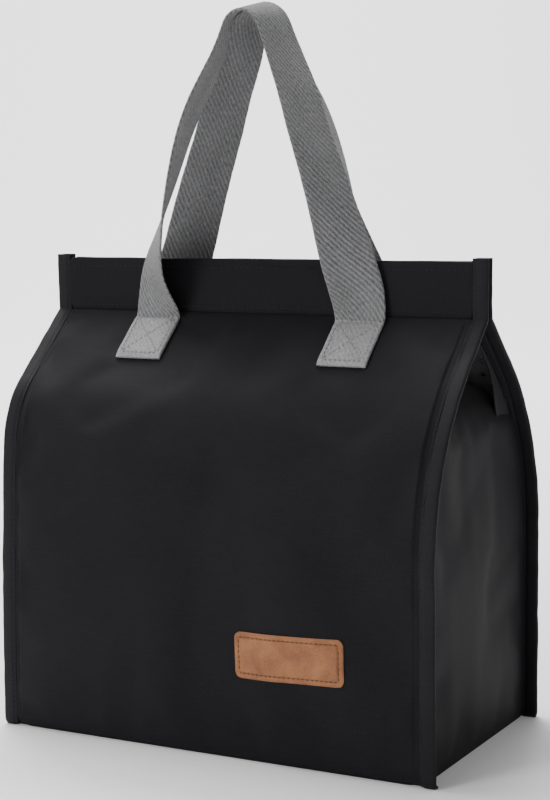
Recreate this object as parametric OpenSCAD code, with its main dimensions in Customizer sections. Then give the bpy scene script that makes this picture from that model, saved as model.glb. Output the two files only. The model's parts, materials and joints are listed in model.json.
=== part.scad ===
// Insulated cooler bag: a soft box with gable roofs that fold together into
// a flat closing collar, folded side gussets and two webbing carrying loops.
// +X to the right, front at -Y, +Z up; the origin is the centre of the base.

/* [Bag] */
// Width over the edge bindings
bag_w = 280; // [220:1:340]
// Depth between the outer faces of the front and back panels
bag_d = 148; // [110:1:170]
// Height of the shoulders, where the roofs start
shoulder_z = 187; // [140:1:240]
// Length of each sloping roof, from shoulder to collar
roof_len = 89.5; // [88:0.5:120]
// Height of the flat closing collar
collar_h = 31; // [24:1:45]
// Half the thickness of the closed collar
collar_half = 3; // [2.8:0.1:6]

/* [Layers] */
// Thickness of the outer fabric
fabric_t = 0.8; // [0.5:0.1:1.2]
// Thickness of the foam in the box walls and base
wall_foam_t = 3; // [2:0.5:8]
// Thickness of the foam in the roofs
roof_foam_t = 2.2; // [1:0.2:3]
// Thickness of the foil lining
lining_t = 0.4; // [0.2:0.1:0.6]
// Thickness of the thin folding gusset fabric
gusset_t = 1; // [0.6:0.1:1]

/* [Edge bindings] */
// Width of the bound seams that stand out at the four upright edges
binding_w = 9; // [6:1:14]
// How far a binding stands proud of its panel
binding_proud = 1.2; // [0.6:0.1:1.6]
// How far the bindings stand above the collar
binding_tip = 2; // [0:0.5:4]

/* [Closure] */
// Length of the hook and loop tapes
tape_len = 90; // [60:5:100]
// Height of the hook and loop tapes
tape_h = 20; // [12:1:22]

/* [Carrying loops] */
// Width of the webbing
web_w = 30; // [20:1:38]
// Thickness of the webbing
web_t = 1.4; // [1:0.1:1.6]
// Distance of each sewn end from the middle of the bag
tab_x = 64; // [52:1:90]
// Length of each sewn end
tab_len = 32; // [20:1:45]
// Distance from the top of a sewn end to the collar
tab_drop = 5.5; // [5:0.5:12]
// Height of the front loop over its sewn ends
loop_reach = 177; // [150:1:200]
// Radius of the bend at the top of the front loop
crown_r = 14; // [13:0.5:18]
// Spacing between the nested loops
loop_gap = 4.5; // [4:0.5:5]
// Outward bow of a loop where it passes the collar
loop_bow = 16.5; // [16:0.5:20]
// Distance of the top of a loop from the middle of the bag
crown_y = 6; // [6:0.5:10]

/* [Leather label] */
// Width of the label
label_w = 69; // [40:1:90]
// Height of the label
label_h = 26; // [16:1:40]
// Thickness of the label
label_t = 1; // [0.6:0.1:1]
// Distance of the label's middle from the middle of the bag
label_x = 53; // [-60:1:60]
// Height of the label's middle
label_z = 61.5; // [40:0.5:120]
// Slope of the label along the panel
label_tilt = 2.5; // [-5:0.5:5]
// Corner radius of the label
label_r = 4; // [1:0.5:8]

/* [Hidden] */
$fn = 48;

// Box and roofs
half_w = bag_w/2 - binding_w;
half_d = bag_d/2;
roof_run = half_d - collar_half;
roof_rise = sqrt(roof_len*roof_len - roof_run*roof_run);
roof_tilt = asin(roof_run/roof_len);
crease_z = shoulder_z + roof_rise;
foam_in = fabric_t + wall_foam_t;
lining_in = foam_in + lining_t;
roof_lining_in = fabric_t + roof_foam_t + lining_t;

// Room left at the folds between the bodies
fold_gap = 0.5;
wall_foam_gap = 1.8;
roof_foam_gap = 2.4;
binding_gap = 1;
binding_t = 2*binding_proud;

// Folded gussets
wing_gap = 0.4;
wing_in = roof_lining_in + wing_gap;
wing_inset = 3;
wing_foot = 6;
fold_inset = 10;
collar_wing_y = 0.3;

// Closure tapes
tape_gap = 0.2;
tape_drop = 4;

// Carrying loops
tab_top = roof_len - tab_drop;
stitch_t = 0.3;
stitch_w = 1;
stitch_inset = 3;
foot_y = half_d - tab_top*sin(roof_tilt) + web_t*cos(roof_tilt) - web_t/2;
foot_z = shoulder_z + tab_top*cos(roof_tilt) + web_t*sin(roof_tilt);
crown_z = loop_reach - crown_r;
front_bend = 16;
back_bend = 10;
twist_height = 50;
bow_height = 40;
settle_height = 100;
foot_steps = 6;
leg_steps = 14;
crown_steps = 8;

// Placing: the back is the mirror image of the front, the left of the right
module at_side(side) {
    if (side == "back") mirror([0, 1, 0]) children();
    else if (side == "left") mirror([1, 0, 0]) children();
    else children();
}

// Roof frame: y runs into the bag from the outer face, z up along the roof
module roof_frame() {
    translate([0, -half_d, shoulder_z]) rotate([-roof_tilt, 0, 0]) children();
}

// Collar frame: y runs into the bag from the outer face, z up from the crease
module collar_frame() {
    translate([0, -collar_half, crease_z]) children();
}

// A sheet across the bag: half width, depth range and height range
module cross_sheet(hw, y0, y1, z0, z1) {
    translate([-hw, y0, z0]) cube([2*hw, y1 - y0, z1 - z0]);
}

// A pair of upright bindings beside a sheet that ends at half_w
module binding_pair(y0, z0, z1) {
    for (s = [-1, 1])
        translate([s*(half_w + binding_w/2) - binding_w/2, y0, z0])
            cube([binding_w, binding_t, z1 - z0]);
}

// Box walls, seen from the front
module wall_shell() {
    color("#28292d") cross_sheet(half_w, -half_d, -half_d + fabric_t, 0, shoulder_z - fold_gap);
}

module wall_foam() {
    color("white") cross_sheet(half_w - fabric_t, -half_d + fabric_t, -half_d + foam_in,
        fabric_t, shoulder_z - wall_foam_gap);
}

module wall_lining() {
    color("silver") cross_sheet(half_w - foam_in, -half_d + foam_in, -half_d + lining_in,
        foam_in, shoulder_z - wall_foam_gap);
}

// Box sides, seen from the right
module side_shell() {
    color("#1c1d20")
        translate([half_w - fabric_t, -half_d + fabric_t, fabric_t])
            cube([fabric_t, 2*(half_d - fabric_t), shoulder_z - fold_gap - fabric_t]);
}

module side_foam() {
    color("white")
        translate([half_w - foam_in, -half_d + foam_in, fabric_t])
            cube([wall_foam_t, 2*(half_d - foam_in), shoulder_z - wall_foam_gap - fabric_t]);
}

module side_lining() {
    color("silver")
        translate([half_w - lining_in, -half_d + lining_in, foam_in])
            cube([lining_t, 2*(half_d - lining_in), shoulder_z - wall_foam_gap - foam_in]);
}

// Base
module base_sheet(inset, z0, t) {
    translate([-half_w + inset[0], -half_d + inset[1], z0])
        cube([2*(half_w - inset[0]), 2*(half_d - inset[1]), t]);
}

module base_shell() {
    color("#28292d") base_sheet([0, fabric_t], 0, fabric_t);
}

module base_foam() {
    color("white") base_sheet([foam_in, foam_in], fabric_t, wall_foam_t);
}

module base_lining() {
    color("silver") base_sheet([lining_in, lining_in], foam_in, lining_t);
}

module wall_bindings() {
    color("#1e1f22") binding_pair(-half_d - binding_proud, 0, shoulder_z - fold_gap);
}

// Leather label on the front panel, drawn flat and stood up
module label_outline(grow) {
    w = label_w/2 + grow - label_r;
    h = label_h/2 + grow - label_r;
    square([2*w, 2*(h + label_r)], center = true);
    square([2*(w + label_r), 2*h], center = true);
    for (x = [-w, w], y = [-h, h]) translate([x, y]) circle(label_r);
}

module on_label(lift) {
    translate([label_x, -half_d - lift, label_z]) rotate([90, -label_tilt, 0]) children();
}

module label() {
    color("#a8703c") on_label(0) linear_extrude(label_t) label_outline(0);
}

module label_stitching() {
    color("#c9965e") on_label(label_t)
        linear_extrude(binding_proud - label_t) difference() {
            label_outline(-stitch_inset);
            label_outline(-stitch_inset - stitch_w/2);
        }
}

// Roof, seen from the front
module roof_shell() {
    color("#28292d") roof_frame()
        cross_sheet(half_w, 0, fabric_t, fold_gap, roof_len - fold_gap);
}

module roof_foam() {
    color("white") roof_frame()
        cross_sheet(half_w - fabric_t, fabric_t, fabric_t + roof_foam_t,
            roof_foam_gap, roof_len - fold_gap);
}

module roof_lining() {
    color("silver") roof_frame()
        cross_sheet(half_w - fabric_t, fabric_t + roof_foam_t, roof_lining_in,
            roof_foam_gap, roof_len - fold_gap);
}

module roof_bindings() {
    color("#1e1f22") roof_frame()
        binding_pair(-binding_proud, binding_gap, roof_len - binding_gap);
}

// Sewn ends of a carrying loop, flat on the roof
module handle_ends() {
    color("#8d8e91") roof_frame()
        for (s = [-1, 1])
            translate([s*tab_x - web_w/2, -web_t, tab_top - tab_len])
                cube([web_w, web_t, tab_len - fold_gap]);
}

// Box stitch with a cross on each sewn end
module handle_stitching() {
    box_w = web_w - 2*stitch_inset;
    box_h = tab_len - 2*stitch_inset;
    diagonal = atan2(box_h, box_w);
    color("#55565a") roof_frame()
        for (s = [-1, 1])
            translate([s*tab_x, -web_t, tab_top - tab_len/2])
                rotate([90, 0, 0]) linear_extrude(stitch_t) {
                    difference() {
                        square([box_w, box_h], center = true);
                        square([box_w - 2*stitch_w, box_h - 2*stitch_w], center = true);
                    }
                    intersection() {
                        square([box_w, box_h], center = true);
                        for (a = [-diagonal, diagonal])
                            rotate(a) square([2*box_w, stitch_w], center = true);
                    }
                }
}

// Collar, seen from the front
module collar_shell() {
    color("#28292d") collar_frame() cross_sheet(half_w, 0, fabric_t, fold_gap, collar_h);
}

module collar_facing() {
    color("#303136") collar_frame()
        cross_sheet(half_w, fabric_t, fabric_t + lining_t, fold_gap, collar_h - fold_gap);
}

module collar_bindings() {
    color("#1e1f22") collar_frame()
        binding_pair(-binding_proud, fold_gap, collar_h + binding_tip);
}

module closure_tape() {
    color("#222326") collar_frame()
        cross_sheet(tape_len/2, fabric_t + lining_t, collar_half - tape_gap,
            collar_h - tape_drop - tape_h, collar_h - tape_drop);
}

// Side gusset above the shoulder: the middle triangle leans in under the roofs
module gusset_fold() {
    base_half = half_d - fold_inset;
    apex = roof_len*base_half/half_d;
    color("#1c1d20")
        translate([half_w, 0, shoulder_z]) rotate([0, -roof_tilt, 0])
            rotate([90, 0, -90]) linear_extrude(gusset_t)
                polygon([
                    [-base_half, fold_gap], [base_half, fold_gap], [0, apex + fold_gap]]);
}

// and a triangular wing lies folded flat under each roof
module gusset_wing() {
    reach = half_d - wing_in - wing_inset;
    top = roof_len - fold_gap - lining_t;
    color("#1c1d20") roof_frame()
        translate([0, wing_in + gusset_t, 0]) rotate([90, 0, 0])
            linear_extrude(gusset_t)
                polygon([[half_w, wing_foot], [half_w, top], [half_w - reach, top]]);
}

// and a strip lies folded flat inside each half of the collar
module collar_wing() {
    reach = half_d - collar_half - wing_gap;
    color("#1c1d20")
        translate([half_w - reach, -collar_wing_y - gusset_t, crease_z + fold_gap])
            cube([reach, gusset_t, collar_h - 2*fold_gap]);
}

// Carrying loop: a band swept up one leg, over the crown and down the other.
// r is the radius of its crown and bend the height at which its foot bends in.
// Points are [x, height over the foot]; each leg leans in at a steady angle.
function leg_lean(r, bend) =
    let (rise = crown_z - bend)
    atan2(tab_x, rise) - asin(r/norm([tab_x, rise]));

function foot_path(bend, lean) = [for (i = [0:foot_steps - 1])
    let (t = i/foot_steps)
    [tab_x - bend*t*t*sin(lean),
        fold_gap*(1 - t) + 2*bend*t*(1 - t) + bend*t*t*(1 + cos(lean))]];

function leg_path(r, bend, lean) =
    let (start = [tab_x - bend*sin(lean), bend*(1 + cos(lean))],
        end = [r*cos(lean), crown_z + r*sin(lean)])
    [for (i = [0:leg_steps - 1]) start + (end - start)*i/leg_steps];

function crown_path(r, lean) = [for (i = [0:crown_steps])
    let (a = lean + (90 - lean)*i/crown_steps)
    [r*cos(a), crown_z + r*sin(a)]];

function half_path(r, bend) =
    let (lean = leg_lean(r, bend))
    concat(foot_path(bend, lean), leg_path(r, bend, lean), crown_path(r, lean));

// Turn of the band from facing front at its foot to facing outwards
function twist(h) = 90*(1 - exp(-h/twist_height));

function ease(t) = t <= 0 ? 0 : t >= 1 ? 1 : (1 - cos(180*t))/2;

// Distance of the band's middle from the middle of the bag, at a height
function band_y(h) = foot_y + (loop_bow - foot_y)*ease(h/bow_height)
    - (loop_bow - crown_y)*ease((h - settle_height)/(crown_z - settle_height));

// Four corners of the band at point i of a path; across runs from edge to edge
function band_ring(p, i) =
    let (crown = i == len(p) - 1,
        step = p[min(i + 1, len(p) - 1)] - p[max(i - 1, 0)],
        along = crown ? [-1, 0] : step/norm(step),
        out = [along[1], -along[0]],
        turn = crown ? 90 : twist(p[i][1]),
        across = [cos(turn)*out[0], sin(turn), cos(turn)*out[1]],
        face = [sin(turn)*out[0], -cos(turn), sin(turn)*out[1]],
        middle = [p[i][0], -band_y(p[i][1]), p[i][1]])
    [for (c = [[-1, -1], [1, -1], [1, 1], [-1, 1]])
        middle + across*c[0]*web_w/2 + face*c[1]*web_t/2];

module band(rings) {
    n = len(rings);
    sides = [for (i = [0:n - 2]) for (k = [0:3])
        let (a = 4*i + k, b = 4*i + (k + 1)%4)
        for (f = [[a, b, b + 4], [a, b + 4, a + 4]]) f];
    ends = [[3, 2, 1, 0], [4*n - 4, 4*n - 3, 4*n - 2, 4*n - 1]];
    polyhedron([for (ring = rings) for (corner = ring) corner], concat(sides, ends));
}

module carrying_loop(r, bend) {
    p = half_path(r, bend);
    right = [for (i = [0:len(p) - 1]) band_ring(p, i)];
    left = [for (i = [len(p) - 2:-1:0]) [for (q = right[i]) [-q[0], q[1], q[2]]]];
    color("#6a6b6e") translate([0, 0, foot_z]) band(concat(right, left));
}

wall_shell();  // front_shell
at_side("back") wall_shell();  // back_shell
at_side("left") side_shell();  // left_shell
side_shell();  // right_shell
base_shell();
wall_foam();  // front_foam
at_side("back") wall_foam();  // back_foam
at_side("left") side_foam();  // left_foam
side_foam();  // right_foam
base_foam();
wall_lining();  // front_lining
at_side("back") wall_lining();  // back_lining
at_side("left") side_lining();  // left_lining
side_lining();  // right_lining
base_lining();
wall_bindings();  // front_edge_bindings
at_side("back") wall_bindings();  // back_edge_bindings
label();
label_stitching();
roof_shell();  // front_roof_shell
roof_foam();  // front_roof_foam
roof_lining();  // front_roof_lining
roof_bindings();  // front_roof_bindings
handle_ends();  // front_handle_ends
handle_stitching();  // front_handle_stitching
at_side("back") roof_shell();  // back_roof_shell
at_side("back") roof_foam();  // back_roof_foam
at_side("back") roof_lining();  // back_roof_lining
at_side("back") roof_bindings();  // back_roof_bindings
at_side("back") handle_ends();  // back_handle_ends
at_side("back") handle_stitching();  // back_handle_stitching
collar_shell();  // front_collar_shell
collar_facing();  // front_collar_facing
collar_bindings();  // front_collar_bindings
closure_tape();  // hook_tape
at_side("back") collar_shell();  // back_collar_shell
at_side("back") collar_facing();  // back_collar_facing
at_side("back") collar_bindings();  // back_collar_bindings
at_side("back") closure_tape();  // loop_tape
carrying_loop(crown_r, front_bend);  // front_handle
at_side("back") carrying_loop(crown_r - loop_gap, back_bend);  // back_handle
at_side("left") gusset_fold();  // left_gusset_fold
gusset_fold();  // right_gusset_fold
at_side("left") gusset_wing();  // left_front_gusset_wing
at_side("left") at_side("back") gusset_wing();  // left_back_gusset_wing
gusset_wing();  // right_front_gusset_wing
at_side("back") gusset_wing();  // right_back_gusset_wing
at_side("left") collar_wing();  // left_front_collar_wing
at_side("left") at_side("back") collar_wing();  // left_back_collar_wing
collar_wing();  // right_front_collar_wing
at_side("back") collar_wing();  // right_back_collar_wing
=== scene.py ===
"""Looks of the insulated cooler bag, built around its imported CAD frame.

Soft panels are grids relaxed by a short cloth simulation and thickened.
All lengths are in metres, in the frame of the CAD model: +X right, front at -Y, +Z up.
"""
import json
import math

import bmesh
import bpy
import numpy as np
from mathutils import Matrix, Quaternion, Vector
from mathutils.bvhtree import BVHTree


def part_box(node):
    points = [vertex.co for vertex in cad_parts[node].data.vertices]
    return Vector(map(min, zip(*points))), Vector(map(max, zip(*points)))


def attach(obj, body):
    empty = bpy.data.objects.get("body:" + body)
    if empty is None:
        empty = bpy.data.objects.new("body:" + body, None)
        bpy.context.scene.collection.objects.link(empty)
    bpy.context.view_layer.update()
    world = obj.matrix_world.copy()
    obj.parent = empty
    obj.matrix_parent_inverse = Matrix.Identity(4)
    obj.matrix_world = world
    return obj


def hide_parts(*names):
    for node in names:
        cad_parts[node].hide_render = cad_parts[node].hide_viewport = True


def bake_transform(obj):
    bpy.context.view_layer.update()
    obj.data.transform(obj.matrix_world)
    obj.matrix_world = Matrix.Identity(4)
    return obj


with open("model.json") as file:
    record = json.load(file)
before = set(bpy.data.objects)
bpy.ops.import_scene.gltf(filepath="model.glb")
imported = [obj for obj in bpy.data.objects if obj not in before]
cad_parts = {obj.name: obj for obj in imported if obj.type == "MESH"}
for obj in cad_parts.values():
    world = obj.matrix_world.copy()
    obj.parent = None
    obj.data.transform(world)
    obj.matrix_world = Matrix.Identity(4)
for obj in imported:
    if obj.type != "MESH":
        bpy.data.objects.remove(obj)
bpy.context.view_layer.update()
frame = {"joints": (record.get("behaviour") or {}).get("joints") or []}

MM = 0.001

# ---- sizes from the frame
PIVOT = {j["name"]: j["pos_m"] for j in frame["joints"]}
HALF_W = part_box("front_shell")[1].x
FLANGE_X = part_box("front_edge_bindings")[1].x
HALF_D = abs(PIVOT["mouth_open"][1])
SHOULDER_Z = PIVOT["mouth_open"][2]
COLLAR_Y = abs(PIVOT["front_collar_upright"][1])
CREASE_Z = PIVOT["front_collar_upright"][2]
COLLAR_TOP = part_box("front_collar_shell")[1].z
TIP_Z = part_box("front_collar_bindings")[1].z
ROOF_RUN = HALF_D - COLLAR_Y
ROOF_RISE = CREASE_Z - SHOULDER_Z
ROOF_LEN = math.hypot(ROOF_RUN, ROOF_RISE)
TILT = math.atan2(ROOF_RUN, ROOF_RISE)
FOOT_Y = abs(PIVOT["front_handle_swing"][1])
FOOT_Z = PIVOT["front_handle_swing"][2]
TAB_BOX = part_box("front_handle_ends")
LOOP_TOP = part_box("front_handle")[1].z
LABEL_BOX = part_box("label")
TAPE_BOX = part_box("hook_tape")

# ---- sizes of the soft forms
WALL_T = 3.0 * MM
COLLAR_T = 1.3 * MM
FLANGE_T = 2.4 * MM
FOIL_T = 0.35 * MM
WEB_W = 30 * MM
WEB_T = 1.5 * MM
TAB_T = 2.5 * MM
TAB_RUN = 32.5 * MM
TAB_GAP = 5.5 * MM
TAB_ROWS = 16
TAB_X = TAB_BOX[1].x - WEB_W / 2
BASE_Y = 74.6 * MM
BOTTOM_R = 3.5 * MM
SKIN = 0.2 * MM
FOIL_GAP = 1.1 * MM
PANEL_ROWS = 50
# Weave coordinate along the webbing, from its middle to where it is sewn down
SEWN_V = 180 * MM

FRONT, BACK = -1, 1
LEFT, RIGHT = -1, 1
SIDE_NAME = {FRONT: "front", BACK: "back"}
HAND_NAME = {LEFT: "left", RIGHT: "right"}
CLOTH_OF = {"cover": "outer_fabric", "lining": "lining_foil"}


# ---- small tools
def lerp(a, b, t):
    return a + (b - a) * t


def ease(t):
    t = min(max(t, 0.0), 1.0)
    return t * t * (3 - 2 * t)


def step(value, start, width):
    """Eases from 0 to 1 over a width from a start, both in millimetres."""
    return ease((value - start * MM) / (width * MM))


def wave(*args):
    """Smooth repeatable unevenness between -1 and 1, from a few sines."""
    total = 0.0
    for k, a in enumerate(args):
        total += 0.5 * math.sin(a + 1.7 * k) + 0.3 * math.sin(2.3 * a + 0.9 + k)
        total += 0.2 * math.sin(4.1 * a + 2.1 * k)
    return total / len(args)


def unit(vectors):
    return vectors / np.maximum(np.linalg.norm(vectors, axis=-1, keepdims=True), 1e-9)


def gaps(points, axis=0):
    """Distances between points that are neighbours along an axis."""
    return np.linalg.norm(np.diff(points, axis=axis), axis=-1)


def added_up(steps):
    return np.concatenate([[0], np.cumsum(steps)])


def run_along(points):
    """Length along a polyline from its start to each of its points."""
    return added_up(gaps(points))


def sample(marks, run, rows):
    """Rows that are known at the lengths in run, read at marks."""
    return np.stack([np.interp(marks, run, column) for column in rows.T], -1)


def resample(points, count):
    """count + 1 points at even spacing along a polyline."""
    points = np.array(points, float)
    run = run_along(points)
    return sample(np.linspace(0, run[-1], count + 1), run, points)


def smoothed(points, rounds):
    """A polyline with its corners eased, its ends kept."""
    points = np.array(points, float)
    for _ in range(rounds):
        points[1:-1] = points[1:-1] * 0.5 + (points[:-2] + points[2:]) * 0.25
    return points


def bezier(a, b, c, n):
    t = np.linspace(0, 1, n + 1)[:, None]
    return (1 - t) ** 2 * a + 2 * t * (1 - t) * b + t ** 2 * c


def linked(name, data):
    obj = bpy.data.objects.new(name, data)
    bpy.context.scene.collection.objects.link(obj)
    return obj


def grid_points(rows, cols, point):
    """A grid of rows + 1 by cols + 1 points, each of them point(i, j)."""
    return np.array([[point(i, j) for j in range(cols + 1)] for i in range(rows + 1)], float)


def new_object(name, verts, faces, uvs, loop_uvs=None):
    mesh = bpy.data.meshes.new(name)
    mesh.from_pydata([tuple(v) for v in verts], [], faces)
    layer = mesh.uv_layers.new(name="weave")
    if loop_uvs is None:
        corner = np.zeros(len(mesh.loops), np.int32)
        mesh.loops.foreach_get("vertex_index", corner)
        loop_uvs = np.asarray(uvs, np.float32)[corner]
    layer.data.foreach_set("uv", np.asarray(loop_uvs, np.float32).ravel())
    return smooth(linked(name, mesh))


def smooth(obj, angle=50):
    mesh = obj.data
    mesh.polygons.foreach_set("use_smooth", [True] * len(mesh.polygons))
    mesh.set_sharp_from_angle(angle=math.radians(angle))
    return obj


def grid_object(name, grid, flip=False, uv=None):
    """A sheet through a grid of points, with its own lengths as weave coordinates."""
    grid = np.asarray(grid, float)
    rows, cols = grid.shape[:2]
    if uv is None:
        u, v = added_up(gaps(grid, 1).max(0)), added_up(gaps(grid).mean(1))
        uv = np.stack(np.meshgrid(u, v), -1)
    faces = [(a, a + 1, a + cols + 1, a + cols)
             for i in range(rows - 1) for a in range(i * cols, (i + 1) * cols - 1)]
    if flip:
        faces = [face[::-1] for face in faces]
    return new_object(name, grid.reshape(-1, 3), faces, np.asarray(uv).reshape(-1, 2))


def ring_object(name, rings, flip=False):
    """A closed form through rings of points, capped at both ends."""
    rings = np.asarray(rings, float)
    rows, cols = rings.shape[:2]
    around = np.linalg.norm(np.roll(rings, -1, 1) - rings, axis=2).mean(0)
    u, v = added_up(around), run_along(rings.mean(1))

    def corner(i, j):
        return i * cols + j % cols, u[j], v[i]

    faces = [[corner(i, j), corner(i, j + 1), corner(i + 1, j + 1), corner(i + 1, j)]
             for i in range(rows - 1) for j in range(cols)]
    faces.append([corner(0, j) for j in reversed(range(cols))])
    faces.append([corner(rows - 1, j) for j in range(cols)])
    if flip:
        faces = [face[::-1] for face in faces]
    loop_uvs = [c[1:] for face in faces for c in face]
    faces = [tuple(c[0] for c in face) for face in faces]
    return new_object(name, rings.reshape(-1, 3), faces, None, loop_uvs)


def positions(obj):
    co = np.zeros(len(obj.data.vertices) * 3, np.float32)
    obj.data.vertices.foreach_get("co", co)
    return co.reshape(-1, 3).astype(float)


def set_positions(obj, co):
    obj.data.vertices.foreach_set("co", np.asarray(co, np.float32).ravel())
    obj.data.update()


def bake_modifiers(obj):
    bpy.context.view_layer.update()
    graph = bpy.context.evaluated_depsgraph_get()
    mesh = bpy.data.meshes.new_from_object(obj.evaluated_get(graph))
    obj.modifiers.clear()
    obj.data = mesh
    return smooth(obj)


def subdivide(obj):
    mod = obj.modifiers.new("Subdivision", "SUBSURF")
    mod.levels = mod.render_levels = 1
    return bake_modifiers(obj)


def thicken(obj, thickness):
    """A sheet becomes a closed panel that keeps its outer face."""
    mod = obj.modifiers.new("Solidify", "SOLIDIFY")
    mod.thickness = thickness
    mod.offset = -1
    mod.use_even_offset = True
    return bake_modifiers(obj)


def relax(obj, pinned, slack, pressure, cap, frames=18):
    """A short cloth simulation: the sheet is a little too big for its seams and
    swells under a light pressure, and no point moves further than cap."""
    start = positions(obj)
    group = obj.vertex_groups.new(name="pin")
    group.add([int(i) for i in np.nonzero(pinned)[0]], 1.0, "REPLACE")
    mod = obj.modifiers.new("Cloth", "CLOTH")
    settings = dict(quality=8, mass=0.25, tension_stiffness=40, compression_stiffness=40,
                    shear_stiffness=12, bending_stiffness=14, air_damping=4,
                    vertex_group_mass="pin", shrink_min=-slack, shrink_max=-slack,
                    use_pressure=True, uniform_pressure_force=pressure)
    for key, value in settings.items():
        setattr(mod.settings, key, value)
    mod.settings.effector_weights.gravity = 0
    mod.collision_settings.use_collision = False
    mod.point_cache.frame_start = 1
    mod.point_cache.frame_end = frames
    for f in range(1, frames + 1):
        bpy.context.scene.frame_set(f)
    graph = bpy.context.evaluated_depsgraph_get()
    moved = positions(obj.evaluated_get(graph))
    obj.modifiers.clear()
    obj.vertex_groups.clear()
    bpy.context.scene.frame_set(1)
    shift = moved - start
    size = np.linalg.norm(shift, axis=1, keepdims=True)
    set_positions(obj, start + shift * np.tanh(size / cap) * cap / np.maximum(size, 1e-9))
    return obj


def joined(name, objects):
    """One object from several, with their weave coordinates."""
    bm = bmesh.new()
    for o in objects:
        bm.from_mesh(o.data)
    mesh = bpy.data.meshes.new(name)
    bm.to_mesh(mesh)
    bm.free()
    for o in objects:
        bpy.data.objects.remove(o)
    return smooth(linked(name, mesh))


def skin_of(obj):
    """A tree of the object's faces, to lay other pieces on."""
    return BVHTree.FromPolygons([tuple(v) for v in positions(obj)],
                                [tuple(p.vertices) for p in obj.data.polygons])


def lay(tree, point, inward):
    """Where a line through point along inward meets the skin, and the skin's normal."""
    inward, standoff = Vector(inward).normalized(), 30 * MM
    hit, normal, _, _ = tree.ray_cast(Vector(point) - inward * standoff, inward)
    if hit is None:
        hit, normal = Vector(point), -inward
    if normal.dot(inward) > 0:
        normal = -normal
    return np.array(hit), np.array(normal)


# ---- materials
def set_range(node, *numbers):
    """Fills a Map Range node with its from and to limits."""
    for key, number in zip(("From Min", "From Max", "To Min", "To Max"), numbers):
        node.inputs[key].default_value = number


class Nodes:
    """Short ways to build a material's node tree."""

    def __init__(self, name):
        self.mat = bpy.data.materials.new(name)
        self.mat.use_nodes = True
        self.tree = self.mat.node_tree
        self.bsdf = self.tree.nodes["Principled BSDF"]
        uv = self.tree.nodes.new("ShaderNodeUVMap")
        uv.uv_map = "weave"
        self.vector = uv.outputs[0]
        split = self.add("ShaderNodeSeparateXYZ", Vector=self.vector)
        self.u, self.v = split.outputs[0], split.outputs[1]

    def add(self, kind, *first, **inputs):
        node = self.tree.nodes.new(kind)
        for key, value in [*enumerate(first), *inputs.items()]:
            self.feed(node.inputs[key], value)
        return node

    def feed(self, socket, value):
        if isinstance(value, bpy.types.NodeSocket):
            self.tree.links.new(value, socket)
        else:
            socket.default_value = value

    def math(self, operation, a, b=0.0):
        node = self.add("ShaderNodeMath", a, b)
        node.operation = operation
        return node.outputs[0]

    def wave(self, value, period):
        return self.math("SINE", self.math("MULTIPLY", value, 2 * math.pi / period))

    def scaled(self, u_scale, v_scale):
        node = self.add("ShaderNodeMapping", Vector=self.vector, Scale=(u_scale, v_scale, 1))
        return node.outputs[0]

    def noise(self, u_scale, v_scale, detail=3.0, roughness=0.55):
        node = self.add("ShaderNodeTexNoise", Vector=self.scaled(u_scale, v_scale), Scale=1.0,
                        Detail=detail, Roughness=roughness)
        return node.outputs["Fac"]

    def cells(self, scale, feature="F1"):
        node = self.add("ShaderNodeTexVoronoi", Vector=self.scaled(scale, scale), Scale=1.0)
        node.feature = feature
        return node.outputs["Distance"]

    def total(self, *terms):
        """Sum of (value, weight) pairs."""
        out = None
        for value, weight in terms:
            part = self.math("MULTIPLY", value, weight)
            out = part if out is None else self.math("ADD", out, part)
        return out

    def mix(self, fac, a, b):
        node = self.tree.nodes.new("ShaderNodeMix")
        node.data_type = "RGBA"
        self.feed(node.inputs[0], fac)
        self.feed(node.inputs[6], a)
        self.feed(node.inputs[7], b)
        return node.outputs[2]

    def spread(self, value, low, high, to_low=0.0, to_high=1.0):
        node = self.add("ShaderNodeMapRange", value)
        set_range(node, low, high, to_low, to_high)
        return node.outputs[0]

    def rough(self, noise, low, high):
        return self.spread(noise, 0.2, 0.8, low, high)

    def bump(self, height, strength, distance, under=None):
        node = self.add("ShaderNodeBump", Strength=strength, Distance=distance, Height=height)
        if under is not None:
            self.tree.links.new(under, node.inputs["Normal"])
        return node.outputs[0]

    def finish(self, color, roughness, normal, **fixed):
        self.feed(self.bsdf.inputs["Base Color"], color)
        self.feed(self.bsdf.inputs["Roughness"], roughness)
        if normal is not None:
            self.tree.links.new(normal, self.bsdf.inputs["Normal"])
        for key, value in fixed.items():
            self.bsdf.inputs[key.replace("_", " ")].default_value = value
        return self.mat


COOL = (0.98, 0.97, 1.14)


def tone(value, tint=(1.0, 1.0, 1.0)):
    return (value * tint[0], value * tint[1], value * tint[2], 1.0)


def fabric_material(name, dark, light, pitch, gloss, rough):
    """Black woven Oxford: plain weave, speckled yarn and broad faint mottling."""
    n = Nodes(name)
    weave = n.math("MULTIPLY", n.wave(n.u, 2 * pitch), n.wave(n.v, 2 * pitch))
    speck = n.noise(950, 950, 2)
    slub = n.noise(70, 900, 2)
    broad = n.noise(14, 14, 3)
    shade = n.total((speck, 0.55), (slub, 0.2), (broad, 0.3))
    color = n.mix(n.spread(shade, 0.36, 0.7), dark, light)
    height = n.total((weave, 0.5), (speck, 0.8))
    normal = n.bump(height, 0.5, 0.12 * MM, n.bump(n.noise(40, 55, 4), 0.3, 1.0 * MM))
    return n.finish(color, n.rough(speck, rough - 0.08, rough + 0.08), normal,
                    Sheen_Weight=0.02, Sheen_Roughness=0.5, Specular_IOR_Level=gloss)


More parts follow.
